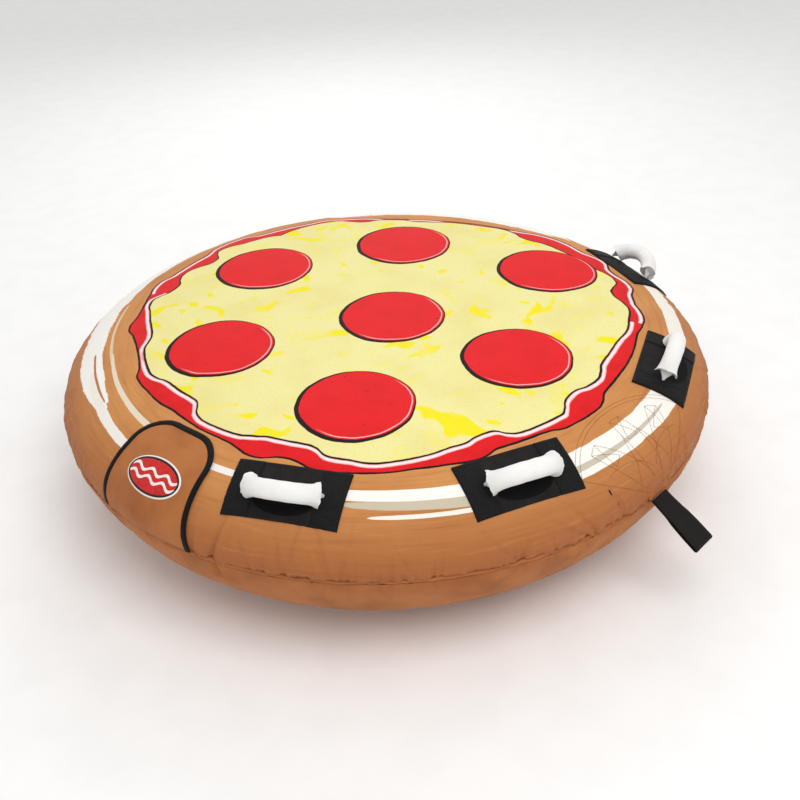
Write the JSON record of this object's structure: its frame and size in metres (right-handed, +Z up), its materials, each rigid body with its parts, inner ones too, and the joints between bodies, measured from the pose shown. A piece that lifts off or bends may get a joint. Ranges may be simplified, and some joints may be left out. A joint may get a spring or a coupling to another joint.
{
  "type": "towable tube",
  "caption": "Round inflatable ride-on tube in a printed cloth cover, with padded grab handles, a covered valve, a zip underneath and a webbing tow loop.",
  "frame": {"origin": "centre of the flat underside, on the ground", "axes": "+Z up out of the deck; the tow loop points to -Y"},
  "size_m": [1.2775, 1.3731, 0.3615],
  "materials": {
    "printed_cover_cloth": "woven nylon, printed",
    "tan_cover_cloth": "woven nylon",
    "tan_seam_cloth": "folded nylon",
    "bladder_pvc": "calendered vinyl",
    "valve_plastic": "moulded",
    "valve_cap_plastic": "moulded",
    "valve_rubber": "soft rubber",
    "black_binding": "woven tape",
    "hook_and_loop": "pile tape",
    "badge_patch": "woven patch",
    "black_webbing": "woven polyester webbing",
    "reinforcing_cloth": "heavy nylon",
    "zip_tape_cloth": "woven tape",
    "zip_plastic": "moulded",
    "zip_metal": "painted zinc",
    "grommet_brass": "plain",
    "black_pad_cloth": "smooth nylon",
    "black_anchor_webbing": "coarse webbing",
    "white_strap_webbing": "woven webbing",
    "grip_foam": "closed-cell foam",
    "white_sleeve_cloth": "woven nylon"
  },
  "bodies": {
    "tube": {"air_bladder": "bladder_pvc", "cover_bottom_panel": "tan_cover_cloth", "cover_top_panel": "printed_cover_cloth", "drain_grommets": "grommet_brass", "flap_loop_tape": "hook_and_loop", "handle_1_anchor_patches": "black_anchor_webbing", "handle_1_pad": "black_pad_cloth", "handle_2_anchor_patches": "black_anchor_webbing", "handle_2_pad": "black_pad_cloth", "handle_3_anchor_patches": "black_anchor_webbing", "handle_3_pad": "black_pad_cloth", "handle_4_anchor_patches": "black_anchor_webbing", "handle_4_pad": "black_pad_cloth", "perimeter_welt": "tan_seam_cloth", "tow_fan_patch": "reinforcing_cloth", "tow_loop_hood": "tan_cover_cloth", "tow_loop_root": "black_webbing", "tow_web_centre": "black_webbing", "tow_web_left": "black_webbing", "tow_web_right": "black_webbing", "valve_base": "valve_plastic", "valve_body": "valve_plastic", "valve_cap_tether": "valve_cap_plastic", "valve_diaphragm": "valve_rubber", "zip_stops": "zip_plastic", "zip_tapes": "zip_tape_cloth", "zip_teeth": "zip_plastic"},
    "valve_flap": {"valve_flap": "tan_cover_cloth", "flap_binding": "black_binding", "flap_hook_tape": "hook_and_loop", "flap_badge": "badge_patch"},
    "valve_cap": {"valve_cap": "valve_cap_plastic"},
    "tow_loop": {"tow_loop": "black_webbing"},
    "zip_slider": {"zip_slider": "zip_metal"},
    "zip_pull": {"zip_pull": "zip_metal"},
    "grip_1": {"handle_1_strap": "white_strap_webbing", "handle_1_foam_core": "grip_foam", "handle_1_grip_sleeve": "white_sleeve_cloth"},
    "grip_2": {"handle_2_strap": "white_strap_webbing", "handle_2_foam_core": "grip_foam", "handle_2_grip_sleeve": "white_sleeve_cloth"},
    "grip_3": {"handle_3_strap": "white_strap_webbing", "handle_3_foam_core": "grip_foam", "handle_3_grip_sleeve": "white_sleeve_cloth"},
    "grip_4": {"handle_4_strap": "white_strap_webbing", "handle_4_foam_core": "grip_foam", "handle_4_grip_sleeve": "white_sleeve_cloth"}
  },
  "joints": [
    {"name": "valve_flap_lift", "type": "hinge", "parent": "tube", "child": "valve_flap", "pos_m": [-0.63646, -0.06241, 0.2042], "axis": [0.0976, -0.9952, 0], "range_deg": [0, 120]},
    {"name": "valve_cap_turn", "type": "hinge", "parent": "tube", "child": "valve_cap", "pos_m": [-0.59995, -0.05883, 0.27074], "axis": [-0.6319, -0.062, 0.7726], "range_deg": [0, 90]},
    {"name": "tow_loop_swing", "type": "hinge", "parent": "tube", "child": "tow_loop", "pos_m": [0, -0.63491, 0.201], "axis": [-1, 0, 0], "range_deg": [-36, 70]},
    {"name": "zip_slider_run", "type": "hinge", "parent": "tube", "child": "zip_slider", "pos_m": [0, 0, 0.1], "axis": [0, 0, 1], "range_deg": [0, 74]},
    {"name": "zip_pull_flip", "type": "hinge", "parent": "zip_slider", "child": "zip_pull", "pos_m": [0.36532, 0.4848, 0.1076], "axis": [0.3375, 0.4479, 0.8279], "range_deg": [-80, 80]},
    {"name": "grip_1_flop", "type": "hinge", "parent": "tube", "child": "grip_1", "pos_m": [-0.4889, -0.26656, 0.30692], "axis": [-0.4787, 0.878, 0], "range_deg": [-9, 75]},
    {"name": "grip_2_flop", "type": "hinge", "parent": "tube", "child": "grip_2", "pos_m": [-0.21937, -0.51182, 0.30692], "axis": [-0.9191, 0.3939, 0], "range_deg": [-15, 69]},
    {"name": "grip_3_flop", "type": "hinge", "parent": "tube", "child": "grip_3", "pos_m": [0.21847, -0.5122, 0.30692], "axis": [-0.9198, -0.3923, 0], "range_deg": [-46, 38]},
    {"name": "grip_4_flop", "type": "hinge", "parent": "tube", "child": "grip_4", "pos_m": [0.53446, -0.22907, 0.29669], "axis": [-0.3939, -0.9191, 0], "range_deg": [-11, 73]}
  ]
}
